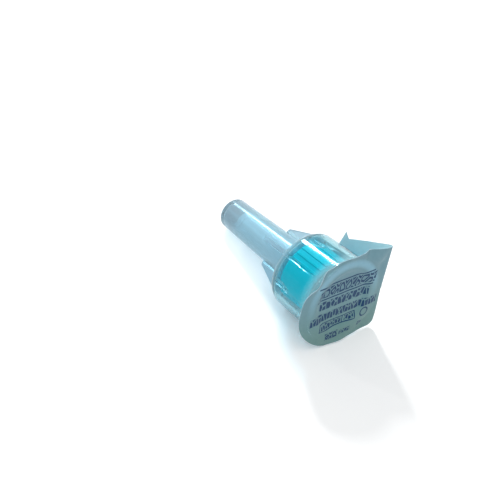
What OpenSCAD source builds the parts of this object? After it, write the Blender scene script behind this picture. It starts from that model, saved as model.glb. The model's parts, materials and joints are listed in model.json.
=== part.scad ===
// Pen needle for an insulin pen, sealed in its outer cap, lying on its side as it comes to rest.
// Each piece is drawn about the needle's axis: the seal's plane is z = 0, the cap's closed end is
// towards +z, and the side that lies lowest is +y. lay_down() then turns and lifts the whole needle.

/* [Outer cap] */
// Overall length of the cap, from the flange face to the closed end
cap_l = 32.8; // [30:0.1:38]
// Wall thickness of the cup
cup_wall = 0.9; // [0.6:0.05:1.1]
// Distance by which the cup widens on each side towards its mouth
cup_draft = 0.25; // [0.1:0.05:0.5]
// Radius that rounds the cup's shoulder
shoulder_r = 1.4; // [0.8:0.1:1.8]
// Width of the flange that carries the seal, outside the cup's wall
flange_w = 0.5; // [0.3:0.1:1]
// Thickness of the flange
flange_t = 0.9; // [0.6:0.1:1.4]
// Distance by which the tube narrows on each side towards its closed end
tube_draft = 0.52; // [0.2:0.01:0.6]
// Wall thickness of the tube
tube_wall = 0.75; // [0.5:0.05:0.85]
// Radius that rounds the closed end
tip_round = 0.8; // [0.4:0.1:1.2]

/* [Cap fins and ribs] */
// Fins between the tube and the cup's front wall
fin_count = 4; // [3:1:6]
// Thickness of a fin
fin_t = 0.8; // [0.5:0.1:1.2]
// Length of a fin along the tube, from the cup's front wall
fin_l = 7.55; // [5:0.05:10]
// Step of the fin's end above the tube
fin_step = 0.75; // [0.3:0.05:1.2]
// Ribs inside the cup that hold the hub
rib_count = 8; // [4:1:12]
// Width of an inner rib
rib_w = 0.6; // [0.4:0.1:1]
// Depth of an inner rib where it meets the front wall
rib_depth = 0.6; // [0.4:0.05:1]
// Length of an inner rib, down from the front wall
rib_l = 5.2; // [3:0.1:7]

/* [Hub] */
// Thickness of the hub's skirt
skirt_wall = 0.9; // [0.7:0.05:1.2]
// Height of the grip ribs above the skirt
grip_h = 0.2; // [0.1:0.05:0.3]
// Width of a grip rib
grip_w = 0.45; // [0.3:0.05:0.6]
// Grip ribs in each field
grip_count = 5; // [3:1:6]
// Grip fields round the hub, with a plain field between each two
field_count = 3; // [2:1:4]
// Angle of the first grip rib about the axis
grip_start = 228; // [0:1:359]
// Length of the hub's skirt with its front wall
hub_l = 6.7; // [6.2:0.05:8]
// Thickness of the hub's front wall
hub_front_t = 1.2; // [0.8:0.1:1.8]
// Root diameter of the thread that takes the pen
thread_root_d = 9.4; // [9:0.05:9.8]
// Height of a thread ridge
thread_h = 0.35; // [0.2:0.05:0.45]
// Distance between thread ridges
thread_pitch = 1.2; // [1:0.1:1.4]
// Thread ridges
thread_turns = 3; // [2:1:3]
// Diameter of the nose that carries the cannula
nose_d = 3.3; // [2.8:0.05:3.6]
// Length of the nose in front of the hub's front wall
nose_l = 5.95; // [4.5:0.05:7]
// Diameter of the nose at its tip
nose_tip_d = 2.2; // [1.8:0.05:2.6]
// Length of the chamfer at the nose's tip
nose_chamfer = 0.8; // [0.4:0.1:1.2]
// Diameter of the boss round the cannula inside the thread
boss_d = 3; // [2.4:0.1:3.6]
// Length of that boss
boss_l = 1; // [0.5:0.1:1.5]

/* [Cannula and its bond] */
// Outer diameter of the cannula
cannula_d = 0.23; // [0.18:0.01:0.3]
// Bore of the cannula
cannula_bore_d = 0.13; // [0.08:0.01:0.15]
// Length of the cannula in front of the nose
cannula_front = 4; // [3:0.5:6]
// Length of the cannula behind the hub's boss
cannula_rear = 3.9; // [3:0.1:4.4]
// Angle between a bevelled point and the axis
bevel_angle = 14; // [10:1:20]
// Diameter of the well that holds the adhesive
well_d = 1.1; // [0.8:0.05:1.4]
// Depth of the well
well_l = 1; // [0.5:0.1:1.5]
// Height of the adhesive bead above the nose
bead_h = 0.25; // [0.1:0.05:0.4]

/* [Inner shield] */
// Wall thickness of the shield where it grips the hub's nose
sleeve_wall = 0.77; // [0.6:0.01:1]
// Wall thickness of the shield at its closed end
shield_wall = 0.55; // [0.4:0.05:0.65]
// Distance by which the shield narrows on each side towards its closed end
shield_draft = 0.25; // [0.1:0.05:0.4]
// Radius that rounds the shield's closed end
shield_round = 0.9; // [0.5:0.1:1.2]

/* [Seal] */
// Thickness of the sealing paper
paper_t = 0.2; // [0.15:0.01:0.3]
// Width of the paper's free margin at its round edge, away from the fold
round_margin = 1.4; // [1:0.05:2]
// Width of the free margin at the paper's two straight edges
flat_margin = 0.6; // [0.5:0.05:0.85]
// Distance from the flange's edge to the tab's fold, at the fold's lower end
fold_margin = 0.7; // [0.6:0.05:1.3]
// Width of the flat paper past the flange's edge, before the margin falls back
land_margin = 0.15; // [0.1:0.05:0.3]
// Distance by which the fold leans out at its upper end
fold_lean = 0.3; // [0:0.05:0.6]
// Fall of the paper's upper edge towards the fold
corner_fall = 0.35; // [0:0.05:0.6]
// Forward curl of the paper's upper corner
corner_curl = 0.6; // [0:0.1:1]
// Radius of the paper's lower corner by the fold
corner_r = 1.2; // [0.6:0.1:2]
// Distance from the cup's inner edge in to where the bonded paper starts to dip
dip_inset = 0.4; // [0.1:0.05:0.7]
// Depth that the paper dips inside the bonded ring
dip = 0.4; // [0.1:0.05:0.8]
// Width of the slope into the dip
dip_run = 0.7; // [0.4:0.1:1.2]
// Distance that the free margin falls back from the flange face
margin_drop = 0.3; // [0:0.05:0.6]
// Height of the ripples along the free margin
ripple = 0.16; // [0:0.02:0.3]
// Ripples round the paper
ripple_count = 9; // [5:1:14]
// Length of the pull tab, from its fold
tab_l = 10.2; // [6:0.1:11]
// Distance of the tab's top edge below the paper's upper corner
tab_inset = 0.15; // [0.1:0.05:0.6]
// Width of the tab at its fold
tab_w = 8.8; // [7:0.1:12]
// Fall of the tab's top edge towards its far end
tab_fall = 3.6; // [2:0.1:4.5]
// Rise of the tab's lower edge towards its far end
tab_rise = 3.1; // [1:0.1:3.5]
// Radius that rounds the tab's far end
tab_round = 1.6; // [0.8:0.1:2.5]
// Radius of the fold
fold_r = 0.4; // [0.3:0.05:0.8]
// Angle by which the tab leans in from the axis direction
tab_lean = 5; // [0:1:6]
// Outward bow of the tab between its fold and its far end
tab_bow = 0.2; // [0:0.05:0.5]

/* [Fits] */
// Clearance between the cap's inner ribs and the hub
hub_fit = 0.05; // [0.02:0.01:0.15]
// Clearance between the hub's nose and the inner shield
shield_fit = 0.03; // [0.02:0.01:0.06]
// Clearance between the hub's front wall and the cap's front wall
front_gap = 0.4; // [0.2:0.05:0.6]
// Clearance between the hub's front wall and the inner shield
shield_gap = 0.2; // [0.1:0.05:0.5]
// Clearance between the inner shield and the tube where the tube leaves the cup
tube_gap = 0.4; // [0.3:0.05:0.6]
// Clearance between the inner shield's closed end and the cap's
end_gap = 3.45; // [0.5:0.05:5]
// Distance from the flange face in to the hub's open end
mouth_recess = 3.2; // [2.5:0.05:4]
// Clearance round the cannula in the hub
cannula_fit = 0.05; // [0.03:0.01:0.1]

/* [Hidden] */
$fn = 96;
fine_fn = 32;

full_turn = 360;
half_turn = 180;
quarter_turn = 90;
overlap = 0.1;
arc_steps = 8;
edge_steps = 7;
round_steps = 20;
corner_steps = 4;
fold_steps = 5;
tab_steps = 12;
tab_rows = 9;
blunt = 0.94;

// The hub is sized by the pen's thread, and the cup goes round the hub.
skirt_d = thread_root_d + 2 * skirt_wall;
hub_d = skirt_d + 2 * grip_h;
cup_front_d = hub_d + 2 * (hub_fit + rib_depth + cup_wall);
cup_mouth_d = cup_front_d + 2 * cup_draft;
flange_d = cup_mouth_d + 2 * flange_w;

hub_rear = mouth_recess;
hub_front = hub_rear + hub_l;
cavity_end = hub_front - hub_front_t;
boss_end = cavity_end - boss_l;
nose_end = hub_front + nose_l;
inner_front = hub_front + front_gap;
cup_l = inner_front + cup_wall;
cup_slope = cup_draft / (cup_l - shoulder_r - flange_t);

// The inner shield goes on the hub's nose, and the tube goes round the shield.
shield_base_d = nose_d + 2 * (shield_fit + sleeve_wall);
shield_tip_d = shield_base_d - 2 * shield_draft;
shield_end = cap_l - tube_wall - end_gap;
tube_base_d = shield_base_d + 2 * (tube_gap + tube_wall);
tube_tip_d = tube_base_d - 2 * tube_draft;
tube_slope = tube_draft / (cap_l - tip_round - cup_l);
fin_end = cup_l + fin_l;

// The paper covers the flange, with a margin past its edge.
land_r = flange_d / 2 + land_margin;
paper_r = flange_d / 2 + round_margin;
paper_half = flange_d / 2 + flat_margin;
fold_x = flange_d / 2 + fold_margin;
bond_r = cup_mouth_d / 2 - cup_wall - dip_inset;

// The needle lies on its cup's rounded shoulder and on the rounded end of its tube.
tip_r = tube_tip_d / 2;
rest_run = cap_l - tip_round - (cup_l - shoulder_r);
rest_drop = cup_front_d / 2 - shoulder_r - (tip_r - tip_round);
rest_span = sqrt(rest_run * rest_run + rest_drop * rest_drop);
tilt = atan2(rest_drop, rest_run) + asin((shoulder_r - tip_round) / rest_span);
lift = (tip_r - tip_round) * cos(tilt) + (cap_l - tip_round) * sin(tilt) + tip_round;
end_reach = (cap_l - tip_round) * cos(tilt) + (tip_r - tip_round) * sin(tilt) + tip_round;
front_reach = land_r * sin(tilt) + paper_t * cos(tilt);
slide_y = (front_reach - end_reach) / 2;

function tube_r(z) = tube_base_d / 2 - (z - cup_l) * tube_slope;
function cup_r(z) = cup_mouth_d / 2 - (z - flange_t) * cup_slope;

// Points of an arc about a centre, from one angle to another.
function arc(centre, r, from, to) =
    [for (i = [0 : arc_steps])
        let (a = from + (to - from) * i / arc_steps)
        [centre[0] + r * cos(a), centre[1] + r * sin(a)]];

// Values from one number towards another, without the last.
function steps(from, to, n) = [for (i = [0 : n - 1]) from + (to - from) * i / n];

// A quad as two triangles.
function split(a, b, c, d) = [[a, b, c], [a, c, d]];

module lay_down() {
    translate([0, slide_y, lift])
        rotate([-(quarter_turn + tilt), 0, 0])
            children();
}

// A flat blade that stands on a radius, with its outline given in radius and height.
module blade(thickness, outline) {
    translate([0, thickness / 2, 0])
        rotate([quarter_turn, 0, 0])
            linear_extrude(thickness)
                polygon(outline);
}

// The cap: a flanged cup, a shoulder and a long closed tube, moulded as one with its fins and ribs.
module outer_cap() {
    color([0.72, 0.82, 0.88])
    lay_down() {
        difference() {
            union() {
                rotate_extrude()
                    polygon(concat(
                        [[0, 0], [flange_d / 2, 0], [flange_d / 2, flange_t], [cup_mouth_d / 2, flange_t]],
                        arc([cup_front_d / 2 - shoulder_r, cup_l - shoulder_r], shoulder_r, 0, quarter_turn),
                        [[tube_base_d / 2, cup_l]],
                        arc([tip_r - tip_round, cap_l - tip_round], tip_round, 0, quarter_turn),
                        [[0, cap_l]]));
                for (i = [0 : fin_count - 1])
                    rotate([0, 0, (i + 0.5) * full_turn / fin_count])
                        fin();
            }
            cap_hollow();
        }
        for (i = [0 : rib_count - 1])
            rotate([0, 0, i * full_turn / rib_count])
                grip_rib();
    }
}

module cap_hollow() {
    inner_tip = cap_l - tube_wall;
    rotate_extrude()
        polygon([
            [0, -overlap],
            [cup_mouth_d / 2 - cup_wall, -overlap],
            [cup_mouth_d / 2 - cup_wall, flange_t],
            [cup_r(inner_front) - cup_wall, inner_front],
            [tube_base_d / 2 - tube_wall, inner_front],
            [tube_base_d / 2 - tube_wall, cup_l],
            [tube_r(inner_tip) - tube_wall, inner_tip],
            [0, inner_tip]]);
}

// A fin that braces the tube against the cup's shoulder, with a small step at its end.
module fin() {
    foot_in = shoulder_r * (1 - cos(quarter_turn / 2));
    blade(fin_t, [
        [tube_base_d / 2 - tube_wall / 2, cup_l - cup_wall / 2],
        [cup_front_d / 2 - shoulder_r, cup_l - cup_wall / 2],
        [cup_front_d / 2 - foot_in, cup_l - foot_in],
        [tube_r(fin_end) + fin_step, fin_end - fin_step / 3],
        [tube_r(fin_end) - tube_wall / 2, fin_end]]);
}

// A rib on the inside of the cup's wall, which holds the hub by its skirt.
module grip_rib() {
    low = inner_front - rib_l;
    inner_r = hub_d / 2 + hub_fit;
    blade(rib_w, [
        [cup_r(low) - cup_wall + overlap, low],
        [inner_r, low + cup_r(low) - cup_wall - inner_r],
        [inner_r, inner_front + overlap],
        [cup_r(inner_front) - cup_wall + overlap, inner_front + overlap]]);
}

// The inner shield: a slim closed sleeve pushed on the hub's nose.
module inner_shield() {
    bore_r = nose_d / 2 + shield_fit;
    end_r = shield_tip_d / 2;
    color([0.8, 0.88, 0.92])
    lay_down()
        rotate_extrude()
            polygon(concat(
                [[bore_r, hub_front + shield_gap], [shield_base_d / 2, hub_front + shield_gap]],
                arc([end_r - shield_round, shield_end - shield_round], shield_round, 0, quarter_turn),
                [[0, shield_end],
                 [0, shield_end - shield_wall],
                 [end_r - shield_wall, shield_end - shield_wall],
                 [bore_r, nose_end]]));
}

// The hub: a skirt threaded inside for the pen, a front wall, and a nose that carries the cannula.
module hub() {
    color([0, 0.66, 0.76])
    lay_down()
        difference() {
            union() {
                translate([0, 0, hub_rear])
                    cylinder(d = skirt_d, h = hub_l);
                grip_ribs();
                rotate_extrude()
                    polygon([
                        [0, hub_front - overlap],
                        [nose_d / 2, hub_front - overlap],
                        [nose_d / 2, nose_end - nose_chamfer],
                        [nose_tip_d / 2, nose_end],
                        [0, nose_end]]);
            }
            thread_cavity();
            translate([0, 0, boss_end - overlap])
                cylinder(
                    d = cannula_d + 2 * cannula_fit,
                    h = nose_end - boss_end + 2 * overlap,
                    $fn = fine_fn);
            translate([0, 0, nose_end - well_l])
                cylinder(d = well_d, h = well_l + overlap, $fn = fine_fn);
        }
}

// Fields of fine ribs along the skirt, by which the hub is gripped.
module grip_ribs() {
    field = full_turn / field_count;
    for (f = [0 : field_count - 1])
        for (i = [0 : grip_count - 1])
            rotate([0, 0, grip_start + f * field + i * field / 2 / grip_count])
                translate([skirt_d / 2 - overlap, -grip_w / 2, hub_rear])
                    cube([grip_h + overlap, grip_w, hub_l]);
}

// The space inside the skirt, less the thread's ridges and the boss round the cannula.
module thread_cavity() {
    difference() {
        translate([0, 0, hub_rear - overlap])
            cylinder(d = thread_root_d, h = cavity_end - hub_rear + overlap);
        for (i = [0 : thread_turns - 1])
            translate([0, 0, hub_rear + (i + 1) * thread_pitch])
                thread_ridge();
        translate([0, 0, boss_end])
            cylinder(d = boss_d, h = boss_l + overlap);
    }
}

// One turn of the thread, drawn as a closed ridge.
module thread_ridge() {
    root_r = thread_root_d / 2;
    rotate_extrude()
        polygon([
            [root_r + overlap, -thread_h],
            [root_r, -thread_h],
            [root_r - thread_h, -thread_h / 2],
            [root_r - thread_h, thread_h / 2],
            [root_r, thread_h],
            [root_r + overlap, thread_h]]);
}

// The cannula: a fine steel tube with a bevelled point at each end.
module cannula() {
    front = nose_end + cannula_front;
    rear = boss_end - cannula_rear;
    color([0.75, 0.76, 0.78])
    lay_down()
        difference() {
            translate([0, 0, rear])
                cylinder(d = cannula_d, h = front - rear, $fn = fine_fn);
            translate([0, 0, rear - overlap])
                cylinder(d = cannula_bore_d, h = front - rear + 2 * overlap, $fn = fine_fn);
            translate([0, 0, front])
                bevel();
            translate([0, 0, rear])
                rotate([half_turn, 0, 0])
                    bevel();
        }
}

// A cutting block whose face crosses the cannula at the bevel's angle.
module bevel() {
    reach = cannula_d / sin(bevel_angle);
    translate([-cannula_d / 2, 0, 0])
        rotate([0, -bevel_angle, 0])
            translate([0, -cannula_d, -2 * reach])
                cube([reach, 2 * cannula_d, 3 * reach]);
}

// The adhesive that bonds the cannula in the nose, with a small bead on top.
module adhesive() {
    color([0.85, 0.83, 0.7])
    lay_down()
        rotate_extrude($fn = fine_fn)
            polygon([
                [cannula_d / 2, nose_end - well_l],
                [well_d / 2, nose_end - well_l],
                [well_d / 2, nose_end],
                [well_d / 4, nose_end + bead_h * 2 / 3],
                [cannula_d / 2, nose_end + bead_h]]);
}

// The paper's outline as seen from outside, anticlockwise, in distance across and height.
flat_x = -sqrt(paper_r * paper_r - paper_half * paper_half);
flat_a = acos(flat_x / paper_r);
corner_x = fold_x - corner_r;
corner_y = paper_half - corner_r;
top_corner = paper_half - corner_fall;
function fold_out(y) = fold_x + fold_lean * max(0, y + corner_y) / (top_corner + corner_y);
paper_outline = concat(
    [for (y = steps(-corner_y, top_corner, edge_steps)) [fold_out(y), y]],
    [for (x = steps(fold_out(top_corner), flat_x, edge_steps))
        [x, paper_half - corner_fall * pow(max(0, x) / fold_out(top_corner), 2)]],
    [for (a = steps(flat_a, full_turn - flat_a, round_steps)) [paper_r * cos(a), paper_r * sin(a)]],
    [for (x = steps(flat_x, corner_x, edge_steps)) [x, -paper_half]],
    [for (a = steps(-quarter_turn, 0, corner_steps))
        [corner_x + corner_r * cos(a), -corner_y + corner_r * sin(a)]]);

// Radii of the rings of flat or dipped paper, and shares of the margin outside them.
ring_radii = [bond_r / 3, bond_r * 2 / 3, bond_r - dip_run, bond_r, land_r];
margin_shares = [0.5, 1];

function sink(r) = dip * min(1, max(0, bond_r - r) / dip_run);

// The free margin falls back and ripples, stays straight along its lower edge, and curls forward
// at its upper corner.
corner_a = atan2(top_corner, fold_out(top_corner));
function curl(a) = corner_curl * pow(max(0, cos(a - corner_a)), 12);
function margin_z(share, a) =
    share * (margin_drop + ripple * sin(ripple_count * a) * (1 - max(0, -sin(a))) - curl(a));

// One point of the paper's inner face for an outline point, on a ring or in the margin.
function ring_point(p, k) =
    let (a = atan2(p[1], p[0]))
    k < len(ring_radii)
        ? [ring_radii[k] * cos(a), -ring_radii[k] * sin(a), sink(ring_radii[k])]
        : let (share = margin_shares[k - len(ring_radii)],
               r = land_r + share * (norm(p) - land_r))
          [r * cos(a), -r * sin(a), margin_z(share, a)];

// The disc of paper over the cap's mouth.
module paper_disc() {
    n = len(paper_outline);
    rings = len(ring_radii) + len(margin_shares);
    inner = [for (k = [0 : rings - 1]) for (p = paper_outline) ring_point(p, k)];
    back = concat([[0, 0, dip]], inner);
    size = len(back);
    points = concat([for (p = back) p - [0, 0, paper_t]], back);
    fan = [for (i = [0 : n - 1])
        let (a = 1 + i, b = 1 + (i + 1) % n)
        each [[0, b, a], [size, size + a, size + b]]];
    skin = [for (k = [0 : rings - 2]) for (i = [0 : n - 1])
        let (a = 1 + k * n + i, b = 1 + k * n + (i + 1) % n)
        each concat(split(a, b, b + n, a + n), split(size + b, size + a, size + a + n, size + b + n))];
    rim = [for (i = [0 : n - 1])
        let (a = 1 + (rings - 1) * n + i, b = 1 + (rings - 1) * n + (i + 1) % n)
        each split(a, b, size + b, size + a)];
    polyhedron(points, concat(fan, skin, rim));
}

// The path of the folded tab: a point on its middle surface and the direction of its outer face.
lean_dir = [-sin(tab_lean), cos(tab_lean)];
fold_turn = quarter_turn + tab_lean;
fold_l = fold_r * fold_turn * PI / half_turn;
fold_z = margin_drop - paper_t / 2;
function fold_at(turn) = [fold_x + fold_r * sin(turn), fold_z + fold_r * (1 - cos(turn))];
tab_path = concat(
    [[-fold_r, [fold_x - fold_r, fold_z], [0, -1]]],
    [for (turn = steps(0, fold_turn, fold_steps))
        [fold_r * turn * PI / half_turn, fold_at(turn), [sin(turn), -cos(turn)]]],
    [for (i = [0 : tab_steps])
        let (s = i / tab_steps, run = s * (tab_l - fold_l), out = [lean_dir[1], -lean_dir[0]])
        [fold_l + run, fold_at(fold_turn) + run * lean_dir + tab_bow * sin(half_turn * s) * out, out]]);

// The tab's two edges narrow towards its far end, which is rounded.
tab_top = top_corner - tab_inset;
tab_low = tab_top - tab_w;
tab_mid = (tab_top - tab_fall + tab_low + tab_rise) / 2;
function tab_close(d) =
    let (s = max(0, d - (tab_l - tab_round)) / tab_round * blunt)
    sqrt(1 - s * s);
function tab_upper(d) = tab_mid + (tab_top - tab_fall * max(0, d) / tab_l - tab_mid) * tab_close(d);
function tab_lower(d) =
    tab_mid + (tab_low + tab_rise * max(0, 2 * d / tab_l - 1) - tab_mid) * tab_close(d);

// The pull tab, folded back along the cup.
module paper_tab() {
    m = len(tab_path);
    n = tab_rows;
    sheet = [for (side = [1, -1]) for (q = tab_path) for (j = [0 : n - 1])
        let (p = q[1] + side * paper_t / 2 * q[2],
             y = tab_lower(q[0]) + (tab_upper(q[0]) - tab_lower(q[0])) * j / (n - 1),
             out = fold_out(y) - fold_x,
             back = margin_z(1, atan2(y, fold_out(y))) - margin_drop)
        [p[0] + out, -y, p[1] + back]];
    size = m * n;
    skin = [for (i = [0 : m - 2]) for (j = [0 : n - 2])
        let (a = i * n + j)
        each concat(
            split(a, a + 1, a + n + 1, a + n),
            split(size + a + n, size + a + n + 1, size + a + 1, size + a))];
    loop = concat(
        [for (j = [0 : n - 2]) j],
        [for (i = [0 : m - 2]) i * n + n - 1],
        [for (j = [n - 1 : -1 : 1]) (m - 1) * n + j],
        [for (i = [m - 1 : -1 : 1]) i * n]);
    rim = [for (k = [0 : len(loop) - 1])
        let (a = loop[k], b = loop[(k + 1) % len(loop)])
        each split(b, a, size + a, size + b)];
    polyhedron(sheet, concat(skin, rim));
}

// The seal: one piece of paper, bonded to the flange and folded back at its pull tab.
module seal() {
    color([0.82, 0.87, 0.88])
    lay_down()
        union() {
            paper_disc();
            paper_tab();
        }
}

outer_cap();
inner_shield();
hub();
cannula();
adhesive();
seal();
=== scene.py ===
import json
import math

import bmesh
import bpy
from mathutils import Matrix, Vector, noise


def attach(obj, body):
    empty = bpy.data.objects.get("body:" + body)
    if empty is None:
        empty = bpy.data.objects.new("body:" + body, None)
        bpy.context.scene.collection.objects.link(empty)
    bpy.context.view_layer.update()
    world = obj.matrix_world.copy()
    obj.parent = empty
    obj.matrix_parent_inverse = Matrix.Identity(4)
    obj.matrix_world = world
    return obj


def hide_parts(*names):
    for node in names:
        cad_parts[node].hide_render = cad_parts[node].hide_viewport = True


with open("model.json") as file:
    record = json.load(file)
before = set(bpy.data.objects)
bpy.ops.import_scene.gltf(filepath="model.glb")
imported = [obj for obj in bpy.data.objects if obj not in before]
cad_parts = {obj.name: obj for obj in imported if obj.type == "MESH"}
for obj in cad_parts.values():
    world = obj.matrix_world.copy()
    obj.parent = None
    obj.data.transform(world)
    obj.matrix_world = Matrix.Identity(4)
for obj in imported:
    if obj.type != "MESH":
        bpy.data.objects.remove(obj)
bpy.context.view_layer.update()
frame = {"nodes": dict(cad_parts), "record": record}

# The cannula: a drawn stainless steel tube, 0.23 mm across, with a bevelled point at each end.
# It is pushed through the hub's nose before bonding. Its solid stays as it is and is given
# polished steel with the fine lines of drawing along it.


def set_sockets(tree, node, sockets):
    """Sets a node's sockets, or links them to other nodes; a colour is three numbers."""
    for name, value in sockets.items():
        socket = node.inputs[name]
        if isinstance(value, bpy.types.NodeSocket):
            tree.links.new(value, socket)
        elif socket.type == "RGBA":
            socket.default_value = (*value, 1)
        else:
            socket.default_value = value


def add_node(owner, kind, sockets, **settings):
    """A new node in a material or world, with its settings and sockets."""
    node = owner.node_tree.nodes.new(kind)
    for setting, value in settings.items():
        setattr(node, setting, value)
    set_sockets(owner.node_tree, node, sockets)
    return node


def eased(owner, source, start, end, low=0.0, high=1.0, interpolation="SMOOTHSTEP"):
    """Goes from low to high as a source goes from start to end."""
    spread = add_node(owner, "ShaderNodeMapRange", {
        "Value": source, "From Min": start, "From Max": end, "To Min": low, "To Max": high},
        interpolation_type=interpolation)
    return spread.outputs["Result"]


def grain(material, lumps, stretch=(1, 1, 1)):
    """Noise over the piece, with so many lumps to a metre, drawn out by stretch."""
    place = add_node(material, "ShaderNodeTexCoord", {})
    mapping = add_node(material, "ShaderNodeMapping", {
        "Vector": place.outputs["Object"], "Scale": stretch})
    texture = add_node(material, "ShaderNodeTexNoise", {
        "Vector": mapping.outputs["Vector"], "Scale": lumps, "Detail": 3.0})
    return texture.outputs["Fac"]


def varied(material, source, low, high):
    """A number that wanders between two values with noise, which stays mostly near its middle."""
    noise_low, noise_high = 0.3, 0.7
    return eased(material, source, noise_low, noise_high, low, high, "LINEAR")


def mixed(material, factor, one, other, blend="MIX"):
    """A colour that turns into another, or is multiplied by it, as a factor goes from 0 to 1."""
    mix = add_node(
        material, "ShaderNodeMix", {"Factor": factor, "A": one, "B": other},
        data_type="RGBA", blend_type=blend)
    return mix.outputs["Result"]


def bumped(material, source, depth):
    """A surface that noise raises by a depth in metres."""
    bump = add_node(material, "ShaderNodeBump", {"Height": source, "Distance": depth})
    return bump.outputs["Normal"]


def finish(name, looks):
    """A new material; looks works out the sockets of its one shader."""
    material = bpy.data.materials.new(name)
    material.use_nodes = True
    shader = material.node_tree.nodes["Principled BSDF"]
    set_sockets(material.node_tree, shader, looks(material))
    return material


def refinish(node_name, material):
    """Gives its finish to a solid that stays as it is."""
    slots = frame["nodes"][node_name].data.materials
    slots.clear()
    slots.append(material)


def drawn_steel(material):
    """Polished steel with the fine lines of drawing along it."""
    lines = grain(material, 9000, (1, 0.02, 1))
    return {
        "Metallic": 1.0,
        "Base Color": mixed(material, grain(material, 700), (0.62, 0.64, 0.66), (0.78, 0.79, 0.8)),
        "Roughness": varied(material, lines, 0.12, 0.3),
        "Normal": bumped(material, lines, 0.000004)}


refinish("cannula", finish("drawn_steel", drawn_steel))

# The bond: clear adhesive cured in the well at the nose's tip, with a small bead round the cannula.
# It holds the cannula in the hub. Its solid stays as it is.


def cured_resin(material):
    """Slightly yellow clear resin, uneven where it cured."""
    return {
        "Transmission Weight": 0.55,
        "IOR": 1.5,
        "Base Color": mixed(material, grain(material, 2500), (0.78, 0.75, 0.58), (0.9, 0.88, 0.74)),
        "Roughness": varied(material, grain(material, 6000), 0.08, 0.22),
        "Normal": bumped(material, grain(material, 4000), 0.00001)}


refinish("adhesive", finish("cured_resin", cured_resin))

# The hub: the cyan moulded piece that screws on the pen, with a threaded skirt, a front wall and
# a nose that carries the cannula. Its skirt has fields of fine grip ribs with plain fields
# between. All turned pieces are drawn about the needle's axis in millimetres, then laid down.

mm = 0.001
seal_face = frame["record"]["mounts"][0]
out_of_mouth = Vector(seal_face["axis"]).normalized()
tilt = math.asin(out_of_mouth.z)
upward = Vector((0, math.sin(tilt), math.cos(tilt)))
# The mount lies on the paper solid's outer face, at the lowest place of its bonded ring.
paper_solid_t = 0.2
bond_middle_r = 7.2
mouth = Vector(seal_face["pos_m"]) + (upward * bond_middle_r - out_of_mouth * paper_solid_t) * mm
lay_down = Matrix.Translation(mouth) @ Matrix.Rotation(-tilt, 4, "X") @ Matrix.Scale(mm, 4)


def rounded(corners, arc_steps=5):
    """An outline's corners as points, where each corner with a radius becomes an arc."""
    points = []
    for i, (along, out, radius) in enumerate(corners):
        corner = Vector((along, out))
        if not radius:
            points.append(corner)
            continue
        before = (Vector(corners[i - 1][:2]) - corner).normalized()
        after = (Vector(corners[(i + 1) % len(corners)][:2]) - corner).normalized()
        half = before.angle(after) / 2
        centre = corner + (before + after).normalized() * radius / math.sin(half)
        start = corner + before * radius / math.tan(half) - centre
        end = corner + after * radius / math.tan(half) - centre
        turn = start.angle_signed(end)
        for k in range(arc_steps + 1):
            points.append(centre + Matrix.Rotation(-turn * k / arc_steps, 2) @ start)
    return points


def turned(corners, steps=160):
    """A round shell about the needle's axis, from its half section: along, out and radius."""
    shape = bmesh.new()
    ring = [shape.verts.new((point.y, point.x, 0)) for point in rounded(corners)]
    pairs = list(zip(ring, ring[1:]))
    if corners[0][1] or corners[-1][1]:
        pairs.append((ring[-1], ring[0]))
    section = ring + [shape.edges.new(pair) for pair in pairs]
    bmesh.ops.spin(shape, geom=section, axis=(0, 1, 0), angle=math.tau, steps=steps, use_merge=True)
    bmesh.ops.remove_doubles(shape, verts=shape.verts, dist=0.0001)
    bmesh.ops.recalc_face_normals(shape, faces=shape.faces)
    return shape


def blade(shape, outline, thickness, angle, edge):
    """Adds a flat blade that stands out from the axis at an angle, with its edges rounded."""
    corners = [shape.verts.new((out, along, -thickness / 2)) for along, out in outline]
    side = shape.faces.new(corners)
    moved = bmesh.ops.extrude_face_region(shape, geom=[side])["geom"]
    far = [item for item in moved if isinstance(item, bmesh.types.BMVert)]
    bmesh.ops.translate(shape, vec=(0, 0, thickness), verts=far)
    faces = {face for corner in corners + far for face in corner.link_faces}
    bmesh.ops.recalc_face_normals(shape, faces=list(faces))
    edges = {line for face in faces for line in face.edges}
    bevelled = bmesh.ops.bevel(
        shape, geom=list(edges), offset=edge, segments=2, profile=0.5, affect="EDGES", material=-1)
    verts = {corner for face in bevelled["faces"] for corner in face.verts}
    bmesh.ops.rotate(
        shape, matrix=Matrix.Rotation(-math.radians(angle), 3, "Y"), verts=list(verts))


def placed(name, shape, material):
    """An object of a finished mesh, smooth except at its sharp edges."""
    sharp_turn = math.radians(32)
    mesh = bpy.data.meshes.new(name)
    shape.to_mesh(mesh)
    shape.free()
    mesh.shade_smooth()
    mesh.set_sharp_from_angle(angle=sharp_turn)
    mesh.materials.append(material)
    piece = bpy.data.objects.new(name, mesh)
    bpy.context.scene.collection.objects.link(piece)
    return piece


def moulded(name, shell, blades, material):
    """One moulding from a turned shell and the blades that stand on it, laid down in its place."""
    body = placed(name, shell, material)
    ribs = placed(name + "_ribs", blades, material)
    union = body.modifiers.new("union", "BOOLEAN")
    union.operation = "UNION"
    union.solver = "EXACT"
    union.object = ribs
    solid = bmesh.new()
    solid.from_object(body, bpy.context.evaluated_depsgraph_get())
    for part in (body, ribs):
        bpy.data.objects.remove(part)
    bmesh.ops.transform(solid, matrix=lay_down, verts=solid.verts)
    return placed(name, solid, material)


def stands_for(piece, node):
    """Fixes a piece to the needle in place of its CAD solid, its broad faces shaded flat."""
    even = piece.modifiers.new("even_shading", "WEIGHTED_NORMAL")
    even.keep_sharp = True
    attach(piece, "root")
    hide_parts(node)


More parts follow.
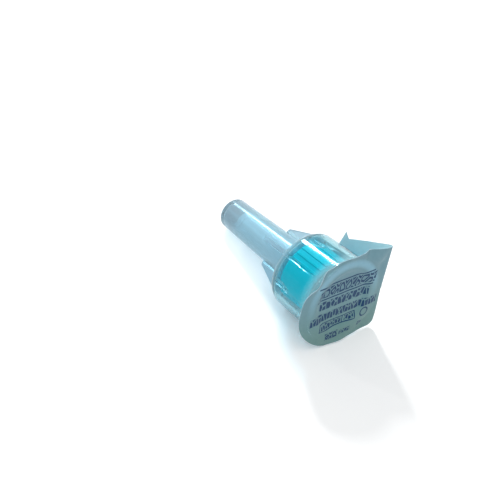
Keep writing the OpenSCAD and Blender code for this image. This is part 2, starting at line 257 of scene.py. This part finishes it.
def hub_polypropylene(material):
    """Satin cyan plastic with the fine texture of its mould."""
    return {
        "IOR": 1.49,
        "Specular IOR Level": 0.2,
        "Specular Tint": (0, 0.8, 1),
        "Base Color": mixed(material, grain(material, 350), (0.0, 0.72, 0.84), (0.0, 0.79, 0.91)),
        "Roughness": varied(material, grain(material, 2600), 0.35, 0.5),
        "Normal": bumped(material, grain(material, 5200), 0.000012)}


hub_rear, hub_front = 3.2, 9.9
skirt_r, grip_h, grip_w, grip_root, grip_edge = 5.6, 0.2, 0.45, 0.3, 0.08
grip_gap, grip_run_out = 0.05, 0.2
grip_fields, field_grips = 3, 5
first_grip_turn, field_turn, grip_turn = 132, 120, 12
thread_r, thread_h, thread_pitch, thread_round = 4.7, 0.35, 1.2, 0.08
nose_r, nose_tip_r, nose_end, nose_taper = 1.65, 1.1, 15.85, 0.8
boss_r, boss_end, cavity_end = 1.5, 7.7, 8.7
hole_r, well_r, well_l = 0.165, 0.55, 1.0


def thread_ridge(turn):
    """The section of one ridge of the thread inside the skirt."""
    middle = hub_rear + (turn + 1) * thread_pitch
    return [
        (middle - thread_h, thread_r, 0), (middle - thread_h / 2, thread_r - thread_h, thread_round),
        (middle + thread_h / 2, thread_r - thread_h, thread_round), (middle + thread_h, thread_r, 0)]


skirt = turned([
    (nose_end, well_r, 0.05), (nose_end, nose_tip_r, 0.1), (nose_end - nose_taper, nose_r, 0.4),
    (hub_front, nose_r, 0.25), (hub_front, skirt_r, 0.3), (hub_rear, skirt_r, 0.15),
    (hub_rear, thread_r, 0.12),
    *thread_ridge(0), *thread_ridge(1), *thread_ridge(2),
    (cavity_end, thread_r, 0.2), (cavity_end, boss_r, 0.15), (boss_end, boss_r, 0.15),
    (boss_end, hole_r, 0), (nose_end - well_l, hole_r, 0), (nose_end - well_l, well_r, 0)])
grips = bmesh.new()
grip_start, grip_end = hub_rear + grip_gap, hub_front - grip_gap
for field in range(grip_fields):
    for rib in range(field_grips):
        blade(grips, [
            (grip_start, skirt_r - grip_root), (grip_start, skirt_r + grip_h),
            (grip_end - grip_run_out, skirt_r + grip_h), (grip_end, skirt_r - grip_root)],
            grip_w, first_grip_turn - field_turn * field - grip_turn * rib, grip_edge)
cyan = finish("hub_polypropylene", hub_polypropylene)
stands_for(moulded("hub_with_thread", skirt, grips, cyan), "hub")

# The inner shield: a slim sleeve, closed at its far end, pushed on the hub's nose over the
# cannula. It is moulded in natural polypropylene, thin enough to look milky and pale.


def arithmetic(owner, operation, *terms):
    """One step of arithmetic on sockets and numbers."""
    step = add_node(owner, "ShaderNodeMath", dict(enumerate(terms)), operation=operation)
    return step.outputs["Value"]


def lets_light_through(material, colour):
    """Lets lamps and bounced light pass a clear wall, as they do in thin moulded plastic."""
    nodes = material.node_tree.nodes
    path = add_node(material, "ShaderNodeLightPath", {})
    passing = arithmetic(
        material, "MAXIMUM", path.outputs["Is Shadow Ray"], path.outputs["Is Diffuse Ray"])
    clear = add_node(material, "ShaderNodeBsdfTransparent", {"Color": colour})
    wall = add_node(material, "ShaderNodeMixShader", {
        "Fac": passing, 1: nodes["Principled BSDF"].outputs["BSDF"], 2: clear.outputs["BSDF"]})
    set_sockets(material.node_tree, nodes["Material Output"], {"Surface": wall.outputs["Shader"]})


def shield_polypropylene(material):
    """Milky natural plastic with faint flow lines along it."""
    clouds, flow_lines = grain(material, 300, (1, 0.3, 1)), grain(material, 1500, (1, 0.12, 1))
    return {
        "Transmission Weight": 0.15,
        "IOR": 1.4,
        "Base Color": mixed(material, clouds, (0.64, 0.87, 1.0), (0.7, 0.91, 1.0)),
        "Roughness": varied(material, grain(material, 2200), 0.25, 0.4),
        "Normal": bumped(material, flow_lines, 0.000006)}


shield_rear, shield_end, shield_wall = 10.1, 28.6, 0.55
shield_rear_r, shield_end_r, shield_bore_r = 2.45, 2.2, 1.68
shield = turned([
    (shield_end, 0, 0), (shield_end, shield_end_r, 0.9), (shield_rear, shield_rear_r, 0.12),
    (shield_rear, shield_bore_r, 0.12), (nose_end, shield_bore_r, 0),
    (shield_end - shield_wall, shield_end_r - shield_wall, 0.4), (shield_end - shield_wall, 0, 0)])
bmesh.ops.transform(shield, matrix=lay_down, verts=shield.verts)
milky = finish("shield_polypropylene", shield_polypropylene)
lets_light_through(milky, (0.9, 0.94, 0.96))
stands_for(placed("shield_sleeve", shield, milky), "inner_shield")

# The outer cap: a flanged cup with a shoulder and a long closed tube, moulded in one piece of
# clear polypropylene. Four fins brace the tube against the shoulder, and eight ribs inside the
# cup grip the hub.

cap_l, cup_l, cup_wall, tube_wall = 32.8, 11.2, 0.9, 0.75
flange_r, flange_t, cup_mouth_r, cup_front_r = 8.1, 0.9, 7.6, 7.35
shoulder_r, tip_round = 1.4, 0.8
tube_base_r, tube_end_r = 3.6, 3.08
tube_slope = (tube_base_r - tube_end_r) / (cap_l - tip_round - cup_l)
cup_slope = (cup_mouth_r - cup_front_r) / (cup_l - shoulder_r - flange_t)
inner_front, inner_tip = cup_l - cup_wall, cap_l - tube_wall
fins, first_fin_turn, fin_t, fin_end, fin_step, fin_edge = 4, 45, 0.8, 18.75, 0.75, 0.1
ribs, rib_w, rib_l, rib_lead, rib_inner_r, rib_edge = 8, 0.6, 5.6, 4.0, 5.85, 0.06
rib_root = 0.3


def tube_r(along):
    """Outer radius of the tube at a height along the axis."""
    return tube_base_r - (along - cup_l) * tube_slope


def cup_inner_r(along):
    """Inner radius of the cup at a height along the axis."""
    return cup_mouth_r - (along - flange_t) * cup_slope - cup_wall


cup_and_tube = turned([
    (cap_l, 0, 0), (cap_l, tube_end_r, tip_round), (cup_l, tube_base_r, 0.35),
    (cup_l, cup_front_r, shoulder_r), (flange_t, cup_mouth_r, 0.2), (flange_t, flange_r, 0.25),
    (0, flange_r, 0.12), (0, cup_mouth_r - cup_wall, 0.1),
    (flange_t, cup_mouth_r - cup_wall, 0), (inner_front, cup_inner_r(inner_front), 0.3),
    (inner_front, tube_base_r - tube_wall, 0.25), (cup_l, tube_base_r - tube_wall, 0),
    (inner_tip, tube_r(inner_tip) - tube_wall, 0.45), (inner_tip, 0, 0)], steps=192)

shoulder_in = shoulder_r * (1 - math.cos(math.pi / 4))
rib_low = inner_front - rib_l
fins_and_ribs = bmesh.new()
for fin in range(fins):
    blade(fins_and_ribs, [
        (cup_l - cup_wall / 2, tube_base_r - tube_wall / 2),
        (cup_l - cup_wall / 2, cup_front_r - shoulder_r),
        (cup_l - shoulder_in, cup_front_r - shoulder_in),
        (fin_end - fin_step / 3, tube_r(fin_end) + fin_step),
        (fin_end, tube_r(fin_end) - tube_wall / 2)],
        fin_t, first_fin_turn + 360 / fins * fin, fin_edge)
for rib in range(ribs):
    blade(fins_and_ribs, [
        (rib_low, cup_inner_r(rib_low) + rib_root),
        (rib_low + rib_lead, rib_inner_r),
        (inner_front + rib_root, rib_inner_r),
        (inner_front + rib_root, cup_inner_r(inner_front) + rib_root)],
        rib_w, 360 / ribs * rib, rib_edge)


def along_axis(material, start, end, low=0.0, high=1.0):
    """Goes from low to high between two distances from the mouth, in millimetres."""
    place = add_node(material, "ShaderNodeTexCoord", {})
    run = add_node(
        material, "ShaderNodeVectorMath", {0: place.outputs["Object"], 1: -out_of_mouth},
        operation="DOT_PRODUCT")
    from_origin = -out_of_mouth.dot(mouth)
    return eased(
        material, run.outputs["Value"], from_origin + start * mm, from_origin + end * mm, low, high)


def from_axis(material, start, end, low=0.0, high=1.0):
    """Goes from low to high between two distances out from the axis, in millimetres."""
    place = add_node(material, "ShaderNodeTexCoord", {})
    away = add_node(
        material, "ShaderNodeVectorMath", {0: place.outputs["Object"], 1: mouth},
        operation="SUBTRACT")
    across = add_node(
        material, "ShaderNodeVectorMath", {0: away.outputs["Vector"], 1: out_of_mouth},
        operation="CROSS_PRODUCT")
    radius = add_node(
        material, "ShaderNodeVectorMath", {0: across.outputs["Vector"]}, operation="LENGTH")
    return eased(material, radius.outputs["Value"], start * mm, end * mm, low, high)


def cap_polypropylene(material):
    """Clear bluish plastic: polished on the cup's wall, hazier on the ribs, the tube and the fins, with
    painted shade greying the fins and the tube's closed end.
    """
    rib_haze, tube_haze, fin_haze = 0.4, 0.11, 0.3
    cup_clear, tube_clear, flange_clear = 1.0, 0.7, 0.75
    inner_r = cup_front_r - cup_wall
    inside = from_axis(material, inner_r - 0.15, inner_r, 1.0, 0.0)
    haze = along_axis(material, inner_front - 0.5, inner_front - 0.1, rib_haze, tube_haze)
    on_fin = arithmetic(
        material, "MULTIPLY", from_axis(material, tube_base_r + 0.1, tube_base_r + 0.5),
        along_axis(material, cup_l - 0.2, cup_l + 0.4))
    polished = varied(material, grain(material, 1600, (1, 0.4, 1)), 0.04, 0.075)
    softened = arithmetic(material, "MULTIPLY_ADD", inside, haze, polished)
    flow = grain(material, 120, (1, 0.25, 1))
    cup = mixed(material, flow, (0.54, 0.82, 0.86), (0.61, 0.87, 0.9))
    tube = mixed(material, along_axis(material, 9, 12), cup, (0.87, 0.82, 0.88), "MULTIPLY")
    # Painted shade: the fins are greyed.
    fin = mixed(material, on_fin, tube, (0.92, 0.9, 0.92), "MULTIPLY")
    # Painted shade: the tube's closed end, past the shield, is greyed.
    tip_with_painted_shade = mixed(material, along_axis(material, 25, 30), fin, (0.95, 0.85, 0.85), "MULTIPLY")
    return {
        "IOR": 1.32,
        "Specular Tint": (0.2, 0.75, 1),
        "Base Color": tip_with_painted_shade,
        "Roughness": arithmetic(material, "MULTIPLY_ADD", on_fin, fin_haze, softened),
        "Transmission Weight": arithmetic(
            material, "MULTIPLY", along_axis(material, 9, 10.4, cup_clear, tube_clear),
            along_axis(material, 1, 3.5, flange_clear)),
        "Normal": bumped(material, grain(material, 420, (1, 0.1, 1)), 0.00001)}


clear_pp = finish("cap_polypropylene", cap_polypropylene)
depth_tint = add_node(clear_pp, "ShaderNodeVolumeAbsorption", {
    "Color": (0.36, 0.62, 0.68), "Density": 380})
set_sockets(clear_pp.node_tree, clear_pp.node_tree.nodes["Material Output"], {
    "Volume": depth_tint.outputs["Volume"]})
lets_light_through(clear_pp, (0.92, 0.95, 0.97))
stands_for(moulded("cap_with_fins", cup_and_tube, fins_and_ribs, clear_pp), "outer_cap")

# The seal: one piece of coated paper, bonded on the flange and cut with two straight edges. It
# dips inside the bonded ring, its free margin ripples, and its pull tab, green outside, is folded
# back along the cup. Its outer face is printed with dark blue patches, rules and frames.

paper_t = 0.14
paper_r, trimmed_r, trim_low, trim_high = 9.3, 8.5, 2.6, 5.2
cut_top, cut_low = 8.5, -8.9
land_r, bond_r, dip, dip_run = 8.1, 6.3, 0.45, 1.3
loose, margin_drop, margin_bend = 0.5, 0.2, 1.3
ripples = ((43, -0.6, 9), (60, 0.45, 6), (84, -0.35, 13), (123, 0.3, 6), (142, -0.6, 9),
           (208, 0.4, 22), (274, -0.4, 14), (310, 0.25, 9))
crumple_h, crumples_per_mm, bonded_share = 0.05, 0.45, 0.25
crumpled_rim, crumpled_middle = (7, 9.5), (6, 4)
fold_x, fold_lean, fold_r, fold_curl = 8.98, 0.12, 0.35, 0.055
fold_depth, fold_run, fold_rise = 0.1, 1.6, 4
corner_fall, corner_from, corner_r = 0.35, 4, 1.2
tab_l, tab_slant, tab_bottom, tab_fall, tab_rise = 10.6, 0.7, -0.6, 0.41, 1.9
tab_lean, tab_bow, tab_round, tab_square = math.radians(5), 0.2, 1.0, 0.8
tab_crumple_h, tab_crumples_per_mm, tab_crumple_run = 0.08, 0.5, 2
nick_h, nick_l, nick_bend = 1.45, 0.85, 1.2
body_cells, tab_cells, row_cells = 122, 76, 120


def smooth(low, high, value):
    """Rises softly from 0 to 1 between two values."""
    share = min(1, max(0, (value - low) / (high - low)))
    return share * share * (3 - 2 * share)


def row_height(row):
    """Height of a row of the sheet, with the rows closer together near its two straight cuts."""
    return (cut_top + cut_low) / 2 + (cut_top - cut_low) / 2 * math.sin(math.pi * (row / row_cells - 0.5))


def round_cut(height):
    """Where the sheet's round cut is at a height; it was cut closer to the cup at the top."""
    radius = paper_r - (paper_r - trimmed_r) * smooth(trim_low, trim_high, height)
    return -math.sqrt(max(0, radius ** 2 - height ** 2))


def fold_out(height):
    """Distance of the fold, or of the cut edge under it, from the axis."""
    lean = fold_lean * (height - cut_low) / (cut_top - cut_low)
    if height < cut_low + corner_r:
        fall = height - (cut_low + corner_r)
        return fold_x + lean - corner_r + math.sqrt(max(0, corner_r ** 2 - fall ** 2))
    return fold_x + lean


def margin_edge(across, height, out):
    """Distance from the axis to the sheet's edge, in the direction of a point."""
    tiny = 0.01
    straight_cut = cut_top if height > 0 else -cut_low
    return min(
        math.hypot(round_cut(height), height) if across < 0 else paper_r,
        straight_cut / max(tiny, abs(height) / max(tiny, out)))


def paper_depth(across, height):
    """How far the paper's face lies in from the flange's face, over the cup and its margin."""
    out = math.hypot(across, height)
    turn = math.degrees(math.atan2(height, across)) % 360
    edge = margin_edge(across, height, out)
    free = min(1, max(0, (out - land_r + loose) / max(loose, edge - land_r + loose)))
    rise = sum(size * math.exp(-((turn - middle) / width) ** 2) for middle, size, width in ripples)
    depth = free ** margin_bend * (margin_drop + rise)
    depth += dip * smooth(bond_r, bond_r - dip_run, out)
    crumple = crumple_h * noise.noise(Vector((across, height, 0)) * crumples_per_mm)
    depth += crumple * (bonded_share + smooth(*crumpled_rim, out) + smooth(*crumpled_middle, out))
    near_fold = smooth(fold_out(height) - fold_run, fold_out(height), across)
    straight = fold_depth - fold_curl * max(0, height)
    return depth + (straight - depth) * near_fold * smooth(cut_low, cut_low + fold_rise, height)


def tab_point(reach, height):
    """A point of the folded tab, from its distance past the fold and its height."""
    fold_turn = math.pi / 2 + tab_lean
    turn = min(reach / fold_r, fold_turn)
    run = max(0, reach - fold_r * fold_turn)
    bow = tab_bow * math.sin(math.pi * run / tab_l)
    across = fold_r * math.sin(turn) - math.sin(tab_lean) * run + math.cos(tab_lean) * bow
    along = fold_r * (1 - math.cos(turn)) + math.cos(tab_lean) * run + math.sin(tab_lean) * bow
    apart_from_face = 7
    crumple = noise.noise(Vector((reach, height, apart_from_face)) * tab_crumples_per_mm)
    return across + tab_crumple_h * crumple * smooth(0, tab_crumple_run, run), along


def tab_height(reach, share, length):
    """Height on the tab, from its distance past the fold and its share of the tab's width."""
    upper = cut_top - corner_fall - tab_fall * max(0, reach - tab_square)
    upper += nick_h * max(0, (reach - length + nick_l) / nick_l) ** nick_bend
    past = min(1, max(0, reach - length + tab_round) / tab_round)
    lower = tab_low + tab_rise * max(0, 2 * reach / length - 1)
    lower += tab_round * (1 - math.sqrt(1 - past ** 2))
    return lower + (upper - lower) * share


first_row = min(range(row_cells), key=lambda row: abs(row_height(row) - tab_bottom))
tab_low = row_height(first_row)
print_span = 40
sheet = bmesh.new()
bmesh.ops.create_grid(
    sheet, x_segments=body_cells + tab_cells, y_segments=row_cells, size=0.5)
print_map = sheet.loops.layers.uv.new("print")
under_tab = []
flat_place = {}
for corner in sheet.verts:
    column = round((corner.co.x + 0.5) * (body_cells + tab_cells))
    row = round((corner.co.y + 0.5) * row_cells)
    height = row_height(row)
    past_left = min(1, column / body_cells)
    across = round_cut(height) + (fold_out(height) - round_cut(height)) * past_left
    near_corner = smooth(corner_from, cut_top, height) * (max(0, across) / fold_x) ** 2
    fallen = height - corner_fall * near_corner
    depth = paper_depth(across, fallen)
    if column <= body_cells:
        corner.co = (across, depth, fallen)
        flat_place[corner] = (across, fallen)
        continue
    if row < first_row:
        under_tab.append(corner)
    share = (fallen - tab_low) / (cut_top - corner_fall - tab_low)
    length = tab_l + tab_slant * (1 - share)
    reach = (column - body_cells) / tab_cells * length
    lifted = tab_height(reach, share, length)
    outward, along = tab_point(reach, lifted)
    corner.co = (across + outward, depth + along, lifted)
    flat_place[corner] = (across + reach, lifted)
for face in sheet.faces:
    for loop in face.loops:
        across, height = flat_place[loop.vert]
        loop[print_map].uv = (across / print_span + 0.5, height / print_span + 0.5)
bmesh.ops.delete(sheet, geom=under_tab, context="VERTS")
bmesh.ops.remove_doubles(sheet, verts=sheet.verts, dist=0.0005)
bmesh.ops.recalc_face_normals(sheet, faces=sheet.faces)
bmesh.ops.transform(sheet, matrix=lay_down, verts=sheet.verts)


class Print:
    """Blocks of ink on the paper, as a mask that is 1 where there is ink."""

    def __init__(self, material):
        self.material = material
        flat = add_node(material, "ShaderNodeUVMap", {}, uv_map="print")
        split = add_node(material, "ShaderNodeSeparateXYZ", {"Vector": flat.outputs["UV"]})
        self.across = self.step("MULTIPLY_ADD", split.outputs["X"], print_span, -print_span / 2)
        self.height = self.step("MULTIPLY_ADD", split.outputs["Y"], print_span, -print_span / 2)
        self.ink = None

    def step(self, operation, *terms):
        """One step of arithmetic in the paper's material."""
        return arithmetic(self.material, operation, *terms)

    def within(self, value, low, high):
        """1 where a value lies between two others."""
        return self.step("COMPARE", value, (low + high) / 2, (high - low) / 2)

    def leaned(self, lean):
        """The place across the sheet, moved with height so that upright lines lean."""
        return self.step("MULTIPLY_ADD", self.height, -lean, self.across)

    def box(self, left, right, low, high, lean=0.0):
        """A block, its sides leaning with height."""
        return self.step(
            "MULTIPLY", self.within(self.leaned(lean), left, right),
            self.within(self.height, low, high))

    def add(self, mask):
        """Inks a mask."""
        self.ink = mask if self.ink is None else self.step("MAXIMUM", self.ink, mask)

    def patches(self, left, right, low, high, wide, gap, hollow=1.0, lean=0.0, cut=0):
        """A row of uneven patches, hollow or full, divided at other places for another cut."""
        unevenness, thin_ink = 0.75, 0.15
        row = self.step("DIVIDE", self.step("SUBTRACT", self.height, low), high - low)
        place = add_node(self.material, "ShaderNodeCombineXYZ", {
            "X": self.step("MULTIPLY", self.leaned(lean), 1 / wide),
            "Y": self.step("ADD", row, cut)})
        cells = add_node(
            self.material, "ShaderNodeTexVoronoi",
            {"Vector": place.outputs["Vector"], "Scale": 1, "Randomness": unevenness},
            voronoi_dimensions="2D", feature="DISTANCE_TO_EDGE")
        patch = self.step(
            "MULTIPLY", self.step("GREATER_THAN", cells.outputs["Distance"], gap),
            self.step("LESS_THAN", cells.outputs["Distance"], hollow))
        wash = self.step("MAXIMUM", patch, thin_ink)
        self.add(self.step("MULTIPLY", wash, self.box(left, right, low, high, lean)))

    def frame_of(self, left, right, low, high, line):
        """A thin rectangular outline."""
        outer = self.box(left, right, low, high)
        inner = self.box(left + line, right - line, low + line, high - line)
        self.add(self.step("SUBTRACT", outer, inner))

    def radius(self, across, height):
        """Distance from a point of the sheet."""
        x = self.step("SUBTRACT", self.across, across)
        y = self.step("SUBTRACT", self.height, height)
        return self.step(
            "SQRT", self.step("ADD", self.step("MULTIPLY", x, x), self.step("MULTIPLY", y, y)))

    def ring(self, across, height, radius, line):
        """A thin round outline."""
        self.add(self.within(self.radius(across, height), radius - line / 2, radius + line / 2))

    def band(self, low, high):
        """A soft round band about the cup's axis, as a mask."""
        middle = self.step("SUBTRACT", self.radius(0, 0), (low + high) / 2)
        share = self.step("DIVIDE", middle, (high - low) / 2)
        falling = self.step("MINIMUM", self.step("MULTIPLY", share, share), 1.0)
        return self.step("SUBTRACT", 1.0, falling)


def printed(material):
    """The print, in rows from the top: rules, patches, two frames and a ring."""
    ink = Print(material)
    for rule in (4.2, 1.4):
        ink.add(ink.box(-6.0, 6.6, rule - 0.14, rule + 0.14))
    ink.patches(-6.0, 6.6, 1.8, 3.85, wide=1.2, gap=0.07, hollow=0.28, lean=0.15)
    ink.patches(-5.0, 6.0, -0.8, 0.95, wide=0.85, gap=0.1)
    ink.patches(-7.1, 8.3, -3.25, -1.6, wide=0.7, gap=0.1, cut=4)
    for right in (3.75, 1.0):
        ink.frame_of(-4.6, right, -5.4, -3.7, line=0.2)
    ink.patches(-4.2, 0.6, -5.1, -4.0, wide=0.6, gap=0.13)
    ink.patches(1.4, 3.4, -5.1, -4.0, wide=0.6, gap=0.13)
    ink.ring(5.7, -4.5, radius=0.85, line=0.3)
    ink.patches(-3.0, -0.1, -7.7, -6.2, wide=1.0, gap=0.08, hollow=0.34)
    ink.patches(0.3, 2.9, -7.5, -6.6, wide=0.55, gap=0.12)
    ink.patches(4.5, 6.0, -7.3, -6.4, wide=0.6, gap=0.12)
    return ink


def mottled(material, one, other):
    """A colour with the faint clouds of paper."""
    return mixed(material, grain(material, 900), one, other)


def satin_paper(material, colour, smoothest, roughest):
    """Paper of a colour, with fibres and a satin face."""
    fibres = grain(material, 4200, (1, 0.35, 1))
    return {
        "IOR": 1.45,
        "Specular IOR Level": 0.3,
        "Sheen Weight": 0.05,
        "Sheen Roughness": 0.5,
        "Base Color": colour,
        "Roughness": varied(material, grain(material, 3200), smoothest, roughest),
        "Normal": bumped(material, fibres, 0.000015)}


def seal_face_paper(material):
    """Blue-grey printed face, darker low down by painted shade, paler over the flange as pressed paper
    and, by painted light, more so towards the top, and green on the tab.
    """
    print_blue, tab_green, green_from = (0.0, 0.045, 0.13), (0.0, 0.3, 0.1), 9.35
    ink = printed(material)
    # Painted shade grows towards the bottom with lower, and painted light grows towards the top with
    # upper.
    lower, upper = eased(material, ink.height, 4, -8), eased(material, ink.height, -4, 6)
    # The pressed band over the flange, kept to the upper part of the sheet by painted light.
    bond = ink.step("MULTIPLY", ink.band(bond_r, land_r), upper)
    plain = mottled(material, (0.165, 0.32, 0.385), (0.21, 0.375, 0.44))
    # Painted shade: the plain paper is darkened and greened towards the bottom.
    painted_shade_low_down = mixed(material, lower, plain, (0.85, 0.88, 0.72), "MULTIPLY")
    # Pressed paper is paler; painted light makes the band paler still towards the top.
    pressed_and_painted_light = mixed(material, bond, painted_shade_low_down, (1.38, 1.45, 1.52), "MULTIPLY")
    inked = mixed(material, ink.ink, pressed_and_painted_light, print_blue)
    on_tab = ink.step("GREATER_THAN", ink.across, green_from)
    return satin_paper(material, mixed(material, on_tab, inked, tab_green), 0.4, 0.6)


def seal_back_paper(material):
    """Pale back of the paper, which the folded tab shows."""
    pale = mottled(material, (0.59, 0.82, 0.87), (0.66, 0.88, 0.92))
    return satin_paper(material, pale, 0.45, 0.65)


def seal_cut_edge(material):
    """Fibres at the cut edges, between the colours of the face and the back."""
    between = mottled(material, (0.3, 0.46, 0.53), (0.36, 0.53, 0.6))
    return satin_paper(material, between, 0.6, 0.8)


paper = placed("printed_seal", sheet, finish("seal_face_paper", seal_face_paper))
paper.data.materials.append(finish("seal_back_paper", seal_back_paper))
paper.data.materials.append(finish("seal_cut_edge", seal_cut_edge))
thickness = paper.modifiers.new("paper_thickness", "SOLIDIFY")
thickness.thickness = paper_t * mm
thickness.offset = 0
thickness.material_offset = 1
thickness.material_offset_rim = 2
stands_for(paper, "seal")

# The table: a plain pale surface under the needle, with soft daylight from above, four small
# lamps behind that streak the cup and the tube, and the camera where the photograph was taken.


def shows(owner):
    """1 for light that shows a surface: straight on, mirrored or through a clear wall."""
    path = add_node(owner, "ShaderNodeLightPath", {})
    first = arithmetic(
        owner, "MAXIMUM", path.outputs["Is Camera Ray"], path.outputs["Is Glossy Ray"])
    return arithmetic(owner, "MAXIMUM", first, path.outputs["Is Transmission Ray"])


def pale_table(material):
    """Matt white paint that whitens where it shows, more so away from the needle's shadow."""
    near, far, near_glow, far_glow = 0.08, 0.45, 0.15, 0.52
    place = add_node(material, "ShaderNodeTexCoord", {})
    reach = add_node(
        material, "ShaderNodeVectorMath", {0: place.outputs["Object"]}, operation="LENGTH")
    farther = eased(material, reach.outputs["Value"], near, far, near_glow, far_glow, "LINEAR")
    return {
        "Specular IOR Level": 0.1,
        "Base Color": mixed(material, grain(material, 60), (0.93, 0.93, 0.93), (0.95, 0.95, 0.95)),
        "Roughness": varied(material, grain(material, 200), 0.7, 0.8),
        "Emission Strength": arithmetic(material, "MULTIPLY", shows(material), farther)}


floor_shape = bmesh.new()
bmesh.ops.create_grid(floor_shape, x_segments=1, y_segments=1, size=2.0)
floor = placed("table", floor_shape, finish("pale_table", pale_table))

world = bpy.data.worlds.new("studio")
bpy.context.scene.world = world
world.use_nodes = True
backdrop = world.node_tree.nodes["Background"]
set_sockets(world.node_tree, backdrop, {"Color": (1, 1, 1), "Strength": 1.0})
skylight = add_node(world, "ShaderNodeBackground", {"Color": (0.97, 0.99, 1), "Strength": 0.52})
sky = add_node(world, "ShaderNodeMixShader", {
    "Fac": shows(world), 1: skylight.outputs["Background"], 2: backdrop.outputs["Background"]})
set_sockets(world.node_tree, world.node_tree.nodes["World Output"], {
    "Surface": sky.outputs["Shader"]})


def lamp(name, direction, distance, size, power):
    """An area lamp that faces the cup from a direction; sizes in metres."""
    cup_middle = lay_down @ Vector((0, 6, 0))
    light = bpy.data.lights.new(name, "AREA")
    light.shape = "RECTANGLE"
    light.size, light.size_y = size
    light.energy = power
    holder = bpy.data.objects.new(name, light)
    bpy.context.scene.collection.objects.link(holder)
    toward = Vector(direction).normalized()
    holder.location = cup_middle + toward * distance
    holder.rotation_euler = toward.to_track_quat("Z", "Y").to_euler()


lamp("daylight", (-0.25, -0.1, 0.96), 0.4, (0.35, 0.35), 0.56)
lamp("high_window", (0.245, 0.745, 0.62), 0.3, (0.03, 0.034), 0.36)
lamp("window_bar", (0.169, 0.769, 0.617), 0.3, (0.006, 0.012), 0.05)
lamp("low_window", (0.238, 0.806, 0.541), 0.3, (0.045, 0.018), 0.19)
lamp("side_window", (-0.576, 0.717, 0.391), 0.3, (0.01, 0.008), 0.06)

camera_data = bpy.data.cameras.new("camera")
camera_data.lens = 54
camera_data.sensor_width = 36
camera_data.clip_start, camera_data.clip_end = 0.01, 5
camera = bpy.data.objects.new("camera", camera_data)
bpy.context.scene.collection.objects.link(camera)
aim = Vector((-5.679, 3.514, 6.234)) * mm
away = 135.53 * mm
azimuth, elevation, roll = (math.radians(angle) for angle in (-45.155, 41.247, 15.403))
back = Vector((
    math.sin(azimuth) * math.cos(elevation), -math.cos(azimuth) * math.cos(elevation),
    math.sin(elevation)))
camera.rotation_mode = "QUATERNION"
camera.location = aim + back * away
camera.rotation_quaternion = (
    back.to_track_quat("Z", "Y").to_matrix() @ Matrix.Rotation(roll, 3, "Z")).to_quaternion()
bpy.context.scene.camera = camera
bpy.context.scene.view_settings.view_transform = "Standard"
